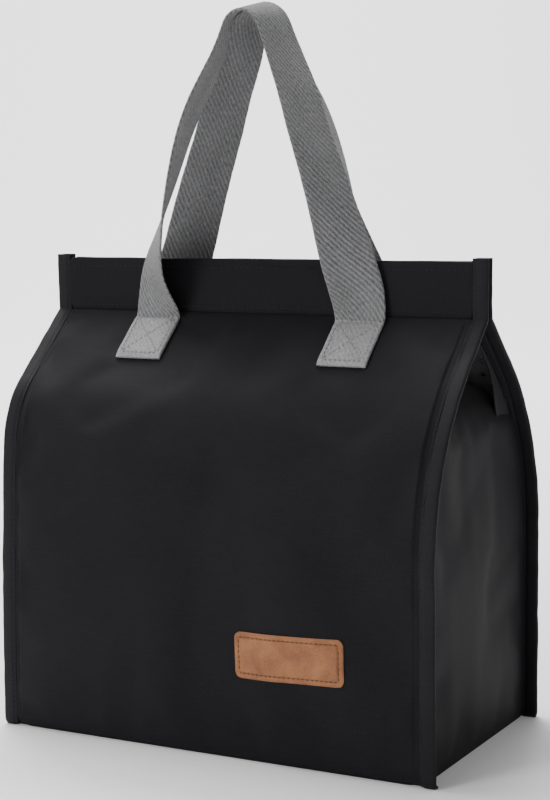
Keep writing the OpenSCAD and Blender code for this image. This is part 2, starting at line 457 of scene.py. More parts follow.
def webbing_material(name):
    """Grey melange webbing: coarse steep twill, paler and flatter on the sewn ends."""
    n = Nodes(name)
    slant = n.total((n.u, 2 * math.pi / (2.9 * MM)), (n.v, 2 * math.pi / (3.8 * MM)),
                    (n.noise(170, 170, 2), 2.2))
    twill = n.math("SINE", slant)
    yarn = n.wave(n.v, 1.0 * MM)
    melange = n.noise(1300, 420, 3, 0.7)
    broad = n.noise(60, 30, 3)
    away = n.math("ABSOLUTE", n.v)
    end = n.spread(away, SEWN_V - 0.8 * MM, SEWN_V + 0.4 * MM)
    calm = n.spread(end, 0.0, 1.0, 1.0, 0.25)
    ribs = n.math("MULTIPLY", twill, calm)
    shade = n.total((ribs, 0.085), (melange, 1.0), (broad, 0.25))
    band = n.mix(n.spread(shade, 0.36, 0.88), tone(0.070), tone(0.30, (0.99, 0.99, 1.02)))
    tab = n.mix(n.spread(shade, 0.36, 0.88), tone(0.16), tone(0.42, (0.99, 0.99, 1.02)))
    height = n.total((ribs, 0.7), (yarn, 0.25), (melange, 0.6))
    return n.finish(n.mix(end, band, tab), n.rough(melange, 0.74, 0.9),
                    n.bump(height, 0.9, 0.35 * MM), Sheen_Weight=0.1, Sheen_Roughness=0.4,
                    Specular_IOR_Level=0.2)


def foil_material(name):
    """Metallised film, lightly crinkled."""
    n = Nodes(name)
    fine = n.noise(130, 130, 5, 0.6)
    crease = n.spread(n.cells(75, "DISTANCE_TO_EDGE"), 0.0, 0.25)
    color = n.mix(fine, tone(0.60, (0.98, 1.0, 1.03)), tone(0.86))
    normal = n.bump(crease, 0.35, 0.6 * MM, n.bump(fine, 0.5, 1.4 * MM))
    return n.finish(color, n.rough(fine, 0.22, 0.4), normal, Metallic=1.0)


def leather_material(name):
    """Tan patch leather: pebbled grain and mottled dye."""
    n = Nodes(name)
    grain = n.cells(1100)
    fine = n.noise(900, 900, 4, 0.65)
    mottle = n.noise(75, 75, 4)
    shade = n.total((mottle, 0.65), (fine, 0.4))
    color = n.mix(n.spread(shade, 0.36, 0.68), (0.17, 0.055, 0.018, 1), (0.36, 0.145, 0.055, 1))
    normal = n.bump(n.total((grain, 0.6), (fine, 1.0)), 0.5, 0.18 * MM)
    return n.finish(color, n.rough(fine, 0.45, 0.68), normal, Specular_IOR_Level=0.4)


def thread_material(name, dark, light):
    n = Nodes(name)
    ply = n.math("SINE", n.total((n.u, 2 * math.pi / (0.8 * MM)), (n.v, 2 * math.pi / (0.5 * MM))))
    fuzz = n.noise(2500, 2500, 2)
    return n.finish(n.mix(fuzz, dark, light), n.rough(fuzz, 0.5, 0.7),
                    n.bump(ply, 0.6, 0.08 * MM), Specular_IOR_Level=0.25)


def tape_material(name, scale):
    """Hook or loop face: a dense field of fibre points."""
    n = Nodes(name)
    fuzz = n.noise(1400, 1400, 4, 0.7)
    height = n.total((n.cells(scale), 1.0), (fuzz, 0.8))
    return n.finish(n.mix(fuzz, tone(0.008), tone(0.035, COOL)),
                    n.rough(fuzz, 0.65, 0.85), n.bump(height, 0.9, 0.5 * MM),
                    Specular_IOR_Level=0.2)


def paper_material(name, value):
    return Nodes(name).finish(tone(value), 0.9, None, Specular_IOR_Level=0.0)


MATERIALS = {name: make(name, *values) for name, make, *values in (
    ("outer_fabric", fabric_material, tone(0.0062, COOL), tone(0.0150, COOL), 0.62 * MM, 0.07, 0.62),
    ("binding", fabric_material, tone(0.0072, COOL), tone(0.0165, COOL), 0.62 * MM, 0.10, 0.56),
    ("facing_tape", fabric_material, tone(0.009, COOL), tone(0.020, COOL), 0.8 * MM, 0.12, 0.7),
    ("webbing", webbing_material),
    ("lining_foil", foil_material),
    ("hook_tape", tape_material, 620),
    ("loop_tape", tape_material, 950),
    ("label_leather", leather_material),
    ("thread_tan", thread_material, (0.075, 0.032, 0.014, 1), (0.17, 0.08, 0.035, 1)),
    ("thread_grey", thread_material, tone(0.16), tone(0.30)),
    ("thread_black", thread_material, tone(0.004, COOL), tone(0.014, COOL)),
)}


def corner_name(hand, side):
    return f"{HAND_NAME[hand]}_{SIDE_NAME[side]}"


def dress(obj, material):
    obj.data.materials.clear()
    obj.data.materials.append(MATERIALS[material])
    return obj


def cloth(piece, grid, *rests_on):
    """Measures the width and length that a thin sheet's own grid was cut to, and does nothing with
    them.
    """
    grid = np.asarray(grid, float)
    width, length = float(gaps(grid, 1).sum(1).max()), float(gaps(grid).sum(0).max())


# ---- the closed bag's profile
# Each profile leans in by lean*z + curl*z*z, then rounds the shoulder from `low` over
# `corner` and reaches the straight roof at `high`: tight at the left, full at the right.
# Those three are in millimetres, and a pair is a depth and a height.
LEFT_EDGE = dict(lean=0.016, curl=0.26, low=172, corner=(60.5, 190.5), high=(47.0, 203.0))
MIDDLE = dict(lean=0.018, curl=0.21, low=156, corner=(63.7, 188.0), high=(45.5, 204.5))
RIGHT_EDGE = dict(lean=0.0, curl=0.0, low=122, corner=(72.0, 176.0), high=(29.6, 217.0))


def profile(x, count):
    """Outer face from the base to the collar's crease, as (depth, height) points."""
    t = max(-1.0, min(1.0, x / FLANGE_X))
    other = RIGHT_EDGE if t > 0 else LEFT_EDGE
    share = abs(t) ** 1.5

    def mixed(key):
        return lerp(np.array(MIDDLE[key], float), np.array(other[key], float), share)

    lean, curl, low = mixed("lean"), mixed("curl"), mixed("low") * MM
    z = np.linspace(BOTTOM_R, low, 24)
    wall = np.stack([BASE_Y - lean * z - curl * z * z, z], 1)
    foot = bezier((BASE_Y - BOTTOM_R, SKIN), (BASE_Y, SKIN), wall[0], 6)
    shoulder = bezier(wall[-1], mixed("corner") * MM, mixed("high") * MM, 24)
    top = [(COLLAR_Y + SKIN, CREASE_Z)]
    return resample(np.concatenate([foot[:-1], wall, shoulder[1:], top]), count)


def outward(rows):
    """Outward normals of a column of (depth, height) points."""
    ahead = unit(np.gradient(rows, axis=0))
    return np.stack([ahead[:, 1], -ahead[:, 0]], 1)


def inset_rows(x, inset, count=160):
    rows = profile(x, count)
    return rows - outward(rows) * inset


def depth_at(x, z, inset, count=160):
    rows = inset_rows(x, inset, count)
    return float(np.interp(z, rows[:, 1], rows[:, 0]))


def shoulder_blend(obj, side):
    """Bakes a piece's placement into its mesh; the piece is not bent over the shoulder."""
    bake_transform(obj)


def crease_blend(obj, side):
    """Bakes a piece's placement into its mesh; the piece is not bent at the crease."""
    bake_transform(obj)


def kept_out(points, start, out, most):
    """Stops dents deeper than most, so that a panel never reaches its own lining."""
    depth = ((points - start) * out).sum(-1, keepdims=True)
    return points + out * np.maximum(-most - depth, 0)


# ---- front and back panels
def panel_columns():
    """Columns across a panel, close together at the seams for their grooves."""
    near = [HALF_W - inset * MM for inset in (-0.6, 0.8, 2.2, 3.4, 4.4, 5.4, 7.5, 11)]
    middle = np.linspace(-HALF_W + 15 * MM, HALF_W - 15 * MM, 46)
    return np.array([-x for x in near] + list(middle) + near[::-1])


def make_panel(side):
    """Wall and roof of one face as one relaxed sheet. Returns its outer skin too."""
    name = SIDE_NAME[side]
    xs = panel_columns()
    cols = len(xs)
    grid = np.zeros((PANEL_ROWS + 1, cols, 3))
    out = np.zeros(grid.shape)
    for j, x in enumerate(xs):
        rows = profile(x, PANEL_ROWS)
        grid[:, j] = np.insert(rows * (side, 1), 0, x, axis=1)
        out[:, j, 1:] = outward(rows) * (side, 1)
    length = run_along(grid[:, cols // 2])[-1]
    uv = np.stack(np.meshgrid(xs, np.linspace(0, length, PANEL_ROWS + 1)), -1)
    sheet = grid_object(name + "_wall_cover", grid, flip=side > 0, uv=uv)
    held = np.zeros(grid.shape[:2], bool)
    held[:, :3] = held[:, -3:] = True
    held[:2] = held[-2:] = True
    on_tab = np.abs(np.abs(grid[..., 0]) - TAB_X) < WEB_W / 2 + 3 * MM
    held |= on_tab & (grid[..., 2] > TAB_BOX[0].z - 4 * MM)
    relax(sheet, held.ravel(), 0.007, 0.25, 3.2 * MM)
    co = positions(sheet).reshape(grid.shape)
    for i, j in np.argwhere(~held):
        x, _, z = grid[i, j]
        fade = min(1, i / 5, (PANEL_ROWS - i) / 6, (HALF_W - abs(x)) / (25 * MM))
        ripple = wave(x * 33 + side, z * 25 + 2 * side, x * 19 + z * 31 + 5 * side)
        co[i, j, 1] += side * fade * 0.8 * MM * ripple
    co = kept_out(co, grid, out, 0.7 * MM)
    roof_row = PANEL_ROWS // 2 + 10
    for k, depth in {1: 0.7, 3: 0.75, 4: -0.2}.items():
        for j in (k, cols - 1 - k):
            co[2:-1, j, 1] -= side * depth * MM * 0.7
            co[roof_row:-1, j, 2] -= depth * MM * 0.6
    set_positions(sheet, co.reshape(-1, 3))
    subdivide(sheet)
    skin = skin_of(sheet)
    thicken(sheet, WALL_T)
    dress(sheet, "outer_fabric")
    shoulder_blend(sheet, side)
    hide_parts(name + "_shell", name + "_foam", name + "_roof_shell",
                name + "_roof_foam")
    return skin


def make_lining(side):
    """Foil inside one wall and its roof."""
    name = SIDE_NAME[side]
    half = HALF_W - WALL_T - 0.8 * MM
    xs = np.linspace(-half, half, 45)
    columns = [inset_rows(x, WALL_T + FOIL_GAP, PANEL_ROWS) for x in xs]

    def point(i, j):
        x, (d, z) = xs[j], columns[j][i]
        crinkle = 0.35 * MM * (1 + wave(x * 75, z * 63, (x - z) * 90 + side))
        return x, side * (d - crinkle), z

    grid = grid_points(PANEL_ROWS, len(xs) - 1, point)
    sheet = grid_object(name + "_wall_lining", grid[1:-1], flip=side > 0)
    subdivide(sheet)
    thicken(sheet, FOIL_T)
    dress(sheet, "lining_foil")
    shoulder_blend(sheet, side)
    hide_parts(name + "_lining", name + "_roof_lining")
    cloth(sheet, grid[1:-1], name + "_wall_cover")


# ---- stitches
def stitch_line(name, points, outs, length=2.3 * MM, pitch=3.3 * MM, width=0.55 * MM,
                height=0.36 * MM):
    """Lock stitches along a line: short plump threads whose ends dive into the cloth."""
    points, outs = np.array(points, float), np.array(outs, float)
    run = run_along(points)
    verts, faces, uvs = [], [], []
    count = max(int(run[-1] / pitch), 1)
    first = (run[-1] - (count - 1) * pitch) / 2
    around, slices = 6, 5
    for c in range(count):
        centre = first + c * pitch
        base = len(verts)
        for i in range(slices):
            t = i / (slices - 1)
            s = min(max(centre + (t - 0.5) * length, 0), run[-1])
            fat = math.sin(math.pi * (0.08 + 0.84 * t))
            p, out = sample(s, run, points), unit(sample(s, run, outs))
            near = [min(s + 0.4 * MM, run[-1]), max(s - 0.4 * MM, 0)]
            ahead, behind = sample(near, run, points)
            across = np.cross(unit(ahead - behind), out)
            for k in range(around):
                a = 2 * math.pi * k / around
                up = height * (0.5 * math.sin(a) * fat + fat - 0.72)
                verts.append(p + across * math.cos(a) * width / 2 * (0.4 + 0.6 * fat) + out * up)
                uvs.append((k * 0.25 * MM, s))
        for i in range(slices - 1):
            for k in range(around):
                a, b = base + i * around + k, base + i * around + (k + 1) % around
                faces.append((a, b, b + around, a + around))
        end = len(verts)
        faces.append(tuple(range(base, base + around))[::-1])
        faces.append(tuple(range(end - around, end)))
    return new_object(name, verts, faces, uvs)


# ---- bound edges
def flange_section(outer):
    """Cross-section of a bound seam as (x, thickness): the tape is pressed in along
    its seam line and rounded at its fold."""
    inner, half = HALF_W - 0.4 * MM, FLANGE_T / 2
    seam = ((0, 0.45), (0.7, 0.62), (1.3, 0.58), (2.0, 0.92), (3.6, 1.06), (5.8, 1.04))
    fold = ((1.5, 1.0), (0.6, 0.78), (0.1, 0.32))
    top = [(inner + x * MM, t) for x, t in seam] + [(outer - x * MM, t) for x, t in fold]
    return [(x, t * half) for x, t in top] + [(x, -t * half) for x, t in reversed(top)]


def flange_rings(hand, side, rows, normals, rise):
    rings = []
    for k, (p, n) in enumerate(zip(rows, normals)):
        wobble = 0.3 * MM * wave(k * 0.35 + hand, k * 0.21 + side)
        lift = rise + 0.2 * MM * wave(k * 0.27 + 2 * hand + side) - FLANGE_T / 2
        rings.append([(hand * x, side * (p[0] + n[0] * (t + lift)), p[1] + n[1] * (t + lift))
                      for x, t in flange_section(FLANGE_X - 0.3 * MM + wobble)])
    return rings


def make_flanges(side):
    """The bound strips of one face: wall with lower roof, upper roof with collar."""
    name = SIDE_NAME[side]
    count, cut, upright_rows = 110, 88, 16
    rise = 0.55 * MM
    for hand in (LEFT, RIGHT):
        lower = profile(hand * FLANGE_X, count)
        normals = outward(lower)
        heights = np.linspace(CREASE_Z + 0.6 * MM, TIP_Z - 0.3 * MM, upright_rows)
        upright = np.stack([np.full(upright_rows, COLLAR_Y + SKIN), heights], 1)
        upright_n = np.tile([[1.0, 0.0]], (upright_rows, 1))
        upper = np.concatenate([lower[cut:], upright])
        upper_n = np.concatenate([normals[cut:], upright_n])
        crease = count - cut
        upper_n[crease] = unit(upper_n[crease - 2] + upright_n[0])
        for part, rows, ns, bend, nodes in (
                ("wall", lower[:cut + 1], normals[:cut + 1], shoulder_blend, ["edge"]),
                ("roof", upper, upper_n, crease_blend, ["roof", "collar"])):
            title = f"{name}_{HAND_NAME[hand]}_{part}_binding"
            rings = flange_rings(hand, side, rows, ns, rise)
            piece = ring_object(title, rings, flip=hand * side > 0)
            dress(piece, "binding")
            lines = []
            for face in (1, -1):
                reach = rise - FLANGE_T / 2 + face * FLANGE_T / 2 * 0.60
                pts = [(hand * (HALF_W + 0.6 * MM), side * (p[0] + n[0] * reach),
                        p[1] + n[1] * reach) for p, n in zip(rows, ns)]
                outs = [(0, side * n[0] * face, n[1] * face) for n in ns]
                lines.append(stitch_line("seam", pts, outs))
            seam = joined(title + "_stitches", lines)
            dress(seam, "thread_black")
            for o in (piece, seam):
                bend(o, side)
            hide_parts(*[f"{name}_{node}_bindings" for node in nodes])


# ---- collar
def make_collar(side):
    """One half of the collar: cloth folded over its top edge, with its facing."""
    name = SIDE_NAME[side]
    out, inn = COLLAR_Y + SKIN, COLLAR_Y + SKIN - COLLAR_T
    r, count = COLLAR_T / 2, 90
    rings = []
    for x in np.linspace(-HALF_W - 0.4 * MM, HALF_W + 0.4 * MM, count):
        top = COLLAR_TOP + 0.25 * MM * wave(x * 40 + side)
        fade = ease((HALF_W - abs(x)) / (14 * MM))
        bow = 0.45 * MM * fade * (wave(x * 35 + 2 * side, x * 61) - 0.4)
        ring = [(out, CREASE_Z - 0.3 * MM)]
        ring += [(out + bow * ease(t), lerp(CREASE_Z, top - 2 * r, t))
                 for t in (0.12, 0.3, 0.5, 0.7, 0.88, 1.0)]
        ring += [(out + bow - r + r * math.cos(a), top - r + r * math.sin(a))
                 for a in (0.4, 0.9, 1.57, 2.24, 2.74)]
        ring += [(inn + bow * ease(t), lerp(CREASE_Z, top - 2 * r, t))
                 for t in (1.0, 0.7, 0.4, 0.12)]
        ring += [(inn, CREASE_Z - 0.3 * MM)]
        rings.append([(x, side * y, z) for y, z in ring])
    piece = ring_object(name + "_collar_cover", rings, flip=side < 0)
    subdivide(piece)
    dress(piece, "outer_fabric")
    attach(piece, name + "_collar")
    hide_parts(name + "_collar_shell", name + "_collar_facing")
    lines = []
    for z in (TAPE_BOX[1].z - 0.8 * MM, CREASE_Z + 3.2 * MM):
        xs = np.linspace(-HALF_W + 2 * MM, HALF_W - 2 * MM, count)
        pts = [(x, side * (out + 0.02 * MM), z + 0.2 * MM * wave(x * 60)) for x in xs]
        lines.append(stitch_line("row", pts, [(0, side, 0)] * count))
    rows = joined(name + "_collar_stitches", lines)
    dress(rows, "thread_black")
    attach(rows, name + "_collar")
    make_tape(side, inn)


def make_tape(side, inn):
    """Hook or loop tape sewn behind the collar."""
    node = "hook_tape" if side == FRONT else "loop_tape"
    lo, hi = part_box(node)
    reach = min(abs(lo.y), abs(hi.y))
    cols, rows = 90, 20

    def point(i, j):
        rim = min(i, rows - i, j, cols - j)
        y = lerp(inn, reach, ease(rim / 2))
        if rim > 2:
            y -= 0.10 * MM * abs(wave(i * 7.1 + j * 3.7, j * 9.3 - i * 5.1))
        return lerp(lo.x, hi.x, j / cols), side * max(y, 0.15 * MM), lerp(lo.z, hi.z, i / rows)

    piece = grid_object(node + "_face", grid_points(rows, cols, point), flip=side < 0)
    thicken(piece, 0.4 * MM)
    dress(piece, node)
    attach(piece, SIDE_NAME[side] + "_collar")
    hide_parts(node)


# ---- sides and gussets
def side_path(count):
    """The side's middle line as (inset from the wall, height): up the wall, round the
    soft fold and in under the roofs."""
    radius = 26 * MM
    start = SHOULDER_Z - radius * math.tan(TILT / 2)
    reach = ROOF_LEN - radius * math.tan(TILT / 2) - 3 * MM
    points = [(0.0, SKIN), (0.0, start)]
    points += [(radius * (1 - math.cos(a)), start + radius * math.sin(a))
               for a in np.linspace(0, TILT, 13)[1:]]
    x, z = points[-1]
    points.append((x + reach * math.sin(TILT), z + reach * math.cos(TILT)))
    return resample(points, count)


def side_grid(hand, depth, rows=64, cols=26):
    """Points of a side at a depth under its outer face."""
    path = side_path(rows)
    normals = outward(np.stack([-path[:, 0], path[:, 1]], 1))
    grid = np.zeros((rows + 1, cols + 1, 3))
    for i in range(rows + 1):
        inward, z = path[i]
        x = HALF_W - inward
        inset = lerp(1.3 * MM, WALL_T + 0.8 * MM, step(z, 150, 38)) + depth * 0.9
        half = max(depth_at(hand * x, z, inset), 1.2 * MM)
        low = step(z, 0, 45) * (1 - step(z, 95, 80))
        dent = step(z, 90, 70) * (1 - step(z, 178, 25))
        for j in range(cols + 1):
            t = 2 * j / cols - 1
            y = half * t
            crown = (1 - t * t) ** 1.2
            swell = 1.4 * MM * low * crown - 3.0 * MM * dent * crown
            fade = ease((1 - abs(t)) * 4) * step(z, 0, 20)
            fade *= 1 - step(z, 215, 20)
            fold = 0.6 * MM * fade * wave(y * 95 + hand, y * 60 + z * 12)
            fold += 0.5 * MM * fade * wave(z * 33 + y * 20 + hand)
            push = swell + fold - depth
            nx, nz = normals[i]
            grid[i, j] = (hand * (x + nx * push), y, max(z + nz * push, SKIN))
    return grid


def make_side(hand):
    """Outer cloth and foil of one side, folding in over the shoulder line."""
    name = HAND_NAME[hand]
    first_tucked = 44
    for kind, depth in (("cover", 0.0), ("lining", WALL_T + FOIL_GAP)):
        grid = side_grid(hand, depth)
        piece = grid_object(f"{name}_side_{kind}", grid, flip=hand < 0)
        if kind == "cover":
            held = np.zeros(grid.shape[:2], bool)
            held[:, :2] = held[:, -2:] = True
            held[:2] = held[first_tucked:] = True
            relax(piece, held.ravel(), 0.006, 0.08, 1.4 * MM)
            moved = positions(piece).reshape(grid.shape)
            out = np.array([hand, 0, 0])
            set_positions(piece, kept_out(moved, grid, out, 0.8 * MM).reshape(-1, 3))
        subdivide(piece)
        thicken(piece, WALL_T - 0.2 * MM if kind == "cover" else FOIL_T)
        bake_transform(piece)
        dress(piece, CLOTH_OF[kind])
        if kind == "cover":
            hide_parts(name + "_shell", name + "_foam", name + "_gusset_fold")
        else:
            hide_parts(name + "_lining")
            cloth(piece, grid, name + "_side_cover")


def make_wings(hand, side):
    """The gusset's corner folded flat under a roof: cloth, with its foil."""
    corner = corner_name(hand, side)
    rows, cols = 22, 14
    for kind, depth, back, trim, drop, thick in (
            ("cover", 1.1 * MM, 0.5 * MM, 0, 5.0 * MM, 0.5 * MM),
            ("lining", 0.45 * MM, 3.2 * MM, 4.3 * MM, 3.5 * MM, 0.2 * MM)):
        inset = WALL_T + FOIL_T + depth
        edge = inset_rows(hand * HALF_W, inset)
        edge = resample(edge[edge[:, 1] > SHOULDER_Z - drop][:-2], rows)

        def point(i, j):
            s, z = i / rows, edge[i, 1]
            width = lerp(25 * MM, ROOF_RUN + 9 * MM, s) - trim
            cut = 14 * MM * max(0, 1 - s / 0.16)
            x = HALF_W - back - lerp(cut, width, j / cols)
            return hand * x, side * depth_at(hand * x, z, inset, 60), z

        grid = grid_points(rows, cols, point)
        up = (side == hand) == (kind == "cover")
        piece = grid_object(f"{corner}_wing_{kind}", grid, flip=up)
        thicken(piece, thick)
        dress(piece, CLOTH_OF[kind])
        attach(piece, corner + "_gusset_wing")
        cloth(piece, grid, SIDE_NAME[side] + "_wall_cover")
        if kind == "cover":
            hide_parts(corner + "_gusset_wing")


def make_strip(hand, side):
    """The gusset's strip inside the collar."""
    corner = corner_name(hand, side)
    node = corner + "_collar_wing"
    lo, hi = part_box(node)
    near = hand * (min(abs(lo.x), abs(hi.x)) - 3.6 * MM)
    far = hand * max(abs(lo.x), abs(hi.x))
    rows, cols = 6, 14

    def point(i, j):
        y = 0.75 * MM + 0.15 * MM * wave(i + j * 0.7 + hand)
        return lerp(far, near, j / cols), side * y, lerp(CREASE_Z - 6 * MM, hi.z, i / rows)

    grid = grid_points(rows, cols, point)
    piece = grid_object(corner + "_collar_strip", grid, flip=side * hand > 0)
    thicken(piece, 0.5 * MM)
    dress(piece, "facing_tape")
    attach(piece, node)
    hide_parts(node)
    cloth(piece, grid, SIDE_NAME[side] + "_collar_cover")


def make_allowance(hand, side):
    """Seam allowance inside a panel's edge, which closes the corner of the open mouth."""
    rows = profile(hand * HALF_W, 90)
    normals = outward(rows)
    use = (rows[:, 1] > SHOULDER_Z - 45 * MM) & (rows[:, 1] < CREASE_Z - 7 * MM)
    rows, normals = rows[use], normals[use]
    cols = 4

    def point(i, j):
        off = (rows[i, 1] - SHOULDER_Z - 4 * MM) / (18 * MM)
        width = 5.4 * MM + 11 * MM * math.exp(-off * off)
        d, z = rows[i] - normals[i] * lerp(1.5 * MM, width, j / cols)
        return hand * (HALF_W - 1.5 * MM - 0.3 * MM * j), side * d, z

    grid = grid_points(len(rows) - 1, cols, point)
    piece = grid_object(corner_name(hand, side) + "_seam_allowance", grid, flip=hand * side > 0)
    thicken(piece, 0.6 * MM)
    dress(piece, "facing_tape")
    shoulder_blend(piece, side)
    cloth(piece, grid, SIDE_NAME[side] + "_wall_cover")


# ---- base
def rounded(u, v, half_x, half_y, r):
    """A square's point (u, v in -1..1) moved onto a rectangle with round corners."""
    x, y = u * half_x, v * half_y
    dx, dy = (abs(x) - half_x + r) / r, (abs(y) - half_y + r) / r
    if dx > 0 and dy > 0:
        ax, ay = dx * math.sqrt(1 - dy * dy / 2), dy * math.sqrt(1 - dx * dx / 2)
        x = math.copysign(half_x - r + r * ax, x)
        y = math.copysign(half_y - r + r * ay, y)
    return x, y


def make_base():
    """Padded floor of the box and its foil."""
    rows, cols = 32, 52
    for kind, z, gap_x, gap_y in (("cover", SKIN, 0.4 * MM, 2.2 * MM),
                                  ("lining", SKIN + WALL_T + 0.4 * MM, 3.6 * MM, 4.6 * MM)):
        def point(i, j):
            x, y = rounded(2 * j / cols - 1, 2 * i / rows - 1, HALF_W - gap_x, BASE_Y - gap_y,
                           9 * MM)
            crinkle = 0.3 * MM * (1 + wave(x * 70, y * 66, (x + y) * 80))
            return x, y, z + (crinkle if kind == "lining" else 0)

        grid = grid_points(rows, cols, point)
        if kind == "cover":
            piece = grid_object("base_cover", grid, flip=True)
            thicken(piece, WALL_T)
        else:
            piece = grid_object("base_foil", grid)
            subdivide(piece)
            thicken(piece, FOIL_T)
        dress(piece, CLOTH_OF[kind])
        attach(piece, "box")
        if kind == "cover":
            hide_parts("base_shell", "base_foam")
        else:
            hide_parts("base_lining")
            cloth(piece, grid, "base_cover")


# ---- label
def make_label(skin):
    """Leather patch on the front, with a pressed border and an inset row of stitches."""
    width, height, thick, radius = 69 * MM, 26 * MM, 1.2 * MM, 4 * MM
    cx, cz = (LABEL_BOX[0].x + LABEL_BOX[1].x) / 2, (LABEL_BOX[0].z + LABEL_BOX[1].z) / 2
    tilt = math.radians(2.5)
    inset = 2.9 * MM

    def placed(x, y, up):
        px = cx + x * math.cos(tilt) - y * math.sin(tilt)
        pz = cz + x * math.sin(tilt) + y * math.cos(tilt)
        hit, normal = lay(skin, (px, -BASE_Y, pz), (0, 1, 0))
        return hit + normal * up

    cols, rows = 138, 52

    def flat(i, j):
        return rounded(2 * j / cols - 1, 2 * i / rows - 1, width / 2, height / 2, radius)

    def point(i, j):
        x, y = flat(i, j)
        rim = min(j, cols - j, i, rows - i) * 0.5 * MM
        up = thick * (0.45 + 0.55 * math.sqrt(1 - (1 - min(rim / (1.1 * MM), 1)) ** 2))
        up -= 0.45 * MM * math.exp(-((rim - inset) / (0.5 * MM)) ** 2)
        up += 0.12 * MM * math.exp(-((rim - inset - 1.3 * MM) / (0.6 * MM)) ** 2)
        up += 0.05 * MM * wave(x * 260, y * 300, (x + y) * 340)
        return placed(x, y, up)

    piece = grid_object("label_patch", grid_points(rows, cols, point),
                        uv=grid_points(rows, cols, flat))
    thicken(piece, 0.9 * MM)
    dress(piece, "label_leather")
    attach(piece, "box")
    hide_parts("label")
    corners = [(1, 1), (-1, 1), (-1, -1), (1, -1)]
    r = radius - inset + 0.6 * MM
    outline = []
    for k, (sx, sy) in enumerate(corners):
        for turn in np.linspace(0, math.pi / 2, 5) + k * math.pi / 2:
            outline.append((sx * (width / 2 - inset - r) + r * math.cos(turn),
                            sy * (height / 2 - inset - r) + r * math.sin(turn)))
    outline.append(outline[0])
    line = resample(outline, 160)
    points = [placed(x, y, thick - 0.22 * MM) for x, y in line]
    normals = [placed(x, y, 1.0) - placed(x, y, 0.0) for x, y in line]
    stitches = stitch_line("label_stitches", points, normals, 2.0 * MM, 2.9 * MM, 0.6 * MM,
                           0.5 * MM)
    dress(stitches, "thread_tan")
    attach(stitches, "box")
    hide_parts("label_stitching")


# ---- carrying loops
class Loop:
    """Course of one webbing loop: sewn flat on the roof, up, twisted and over."""

    LEG = 165 * MM
    BOW_Y, BOW_H = 16.5 * MM, 40 * MM
    CROWN_Y, SETTLE_H = 6 * MM, 100 * MM

    def __init__(self, side):
        front = side == FRONT
        self.side = side
        self.r, self.bend = (14 * MM, 16 * MM) if front else (9.5 * MM, 10 * MM)
        self.seen_turn, self.turn_h = (78, 120 * MM) if front else (64, 140 * MM)
        self.crown = LOOP_TOP - FOOT_Z - 19 * MM
        lean = math.atan2(TAB_X, self.crown - self.bend)
        self.lean = lean - math.asin(self.r / math.hypot(TAB_X, self.crown - self.bend))

    def shift(self, hand, h):
        """The legs bow apart between their sewn ends and the crown."""
        t = min(max(h / self.LEG, 0), 1)
        swell = (1.5 + 4.0 * math.sin(math.pi * t) + 1.5 * t) * (1 - ease((t - 0.72) / 0.28))
        return hand * swell * MM

    def depth(self, h):
        out = FOOT_Y + (self.BOW_Y - FOOT_Y) * ease(h / self.BOW_H)
        settled = ease((h - self.SETTLE_H) / (self.crown - self.SETTLE_H))
        return out - (self.BOW_Y - self.CROWN_Y) * settled

    def turn(self, hand, h):
        """The band's twist about its own course, from flat on the roof to edge on."""
        limit = self.seen_turn if hand == -self.side else 88
        own = limit * (1 - math.exp(-max(h, 0) / (50 * MM)))
        return math.radians(lerp(own, 80, ease((h - self.turn_h) / (170 * MM - self.turn_h))))

    def half(self):
        """(x, height over the foot) from the foot to the crown's top."""
        lean, bend, r = self.lean, self.bend, self.r
        knee = (TAB_X - bend * math.sin(lean), bend * (1 + math.cos(lean)))
        foot = bezier((TAB_X, 0), (TAB_X, bend), knee, 8)
        turns = np.linspace(lean, math.pi / 2, 13)
        crown = np.stack([r * np.cos(turns), self.crown + r * np.sin(turns)], 1)
        leg = np.linspace(knee, crown[0], 31)
        return np.concatenate([foot[:-1], leg[:-1], crown])


def web_section(half_w, half_t):
    """Webbing seen on end: flat, with slightly rounded selvedges."""
    right = [(0.0, 0.97), (0.4, 1.0), (0.8, 0.92), (0.94, 1.0), (0.985, 0.62), (1.0, 0.0)]
    top = [(-u, w) for u, w in right[:0:-1]] + right
    return ([(u * half_w, w * half_t) for u, w in top]
            + [(u * half_w, -w * half_t) for u, w in reversed(top[1:-1])])


class Seat:
    """Places on the panel under a loop's sewn end, by their length up the panel."""

    def __init__(self, x, side, skin):
        self.side, self.skin = side, skin
        self.rows = profile(x, 400)
        self.normals = outward(self.rows)
        self.run = run_along(self.rows)
        self.end = self.run[-1] - TAB_GAP

    def spot(self, x, s):
        depth, z = sample(s, self.run, self.rows)
        out, up = sample(s, self.run, self.normals)
        return lay(self.skin, (x, self.side * depth, z), (0, -self.side * out, -up))


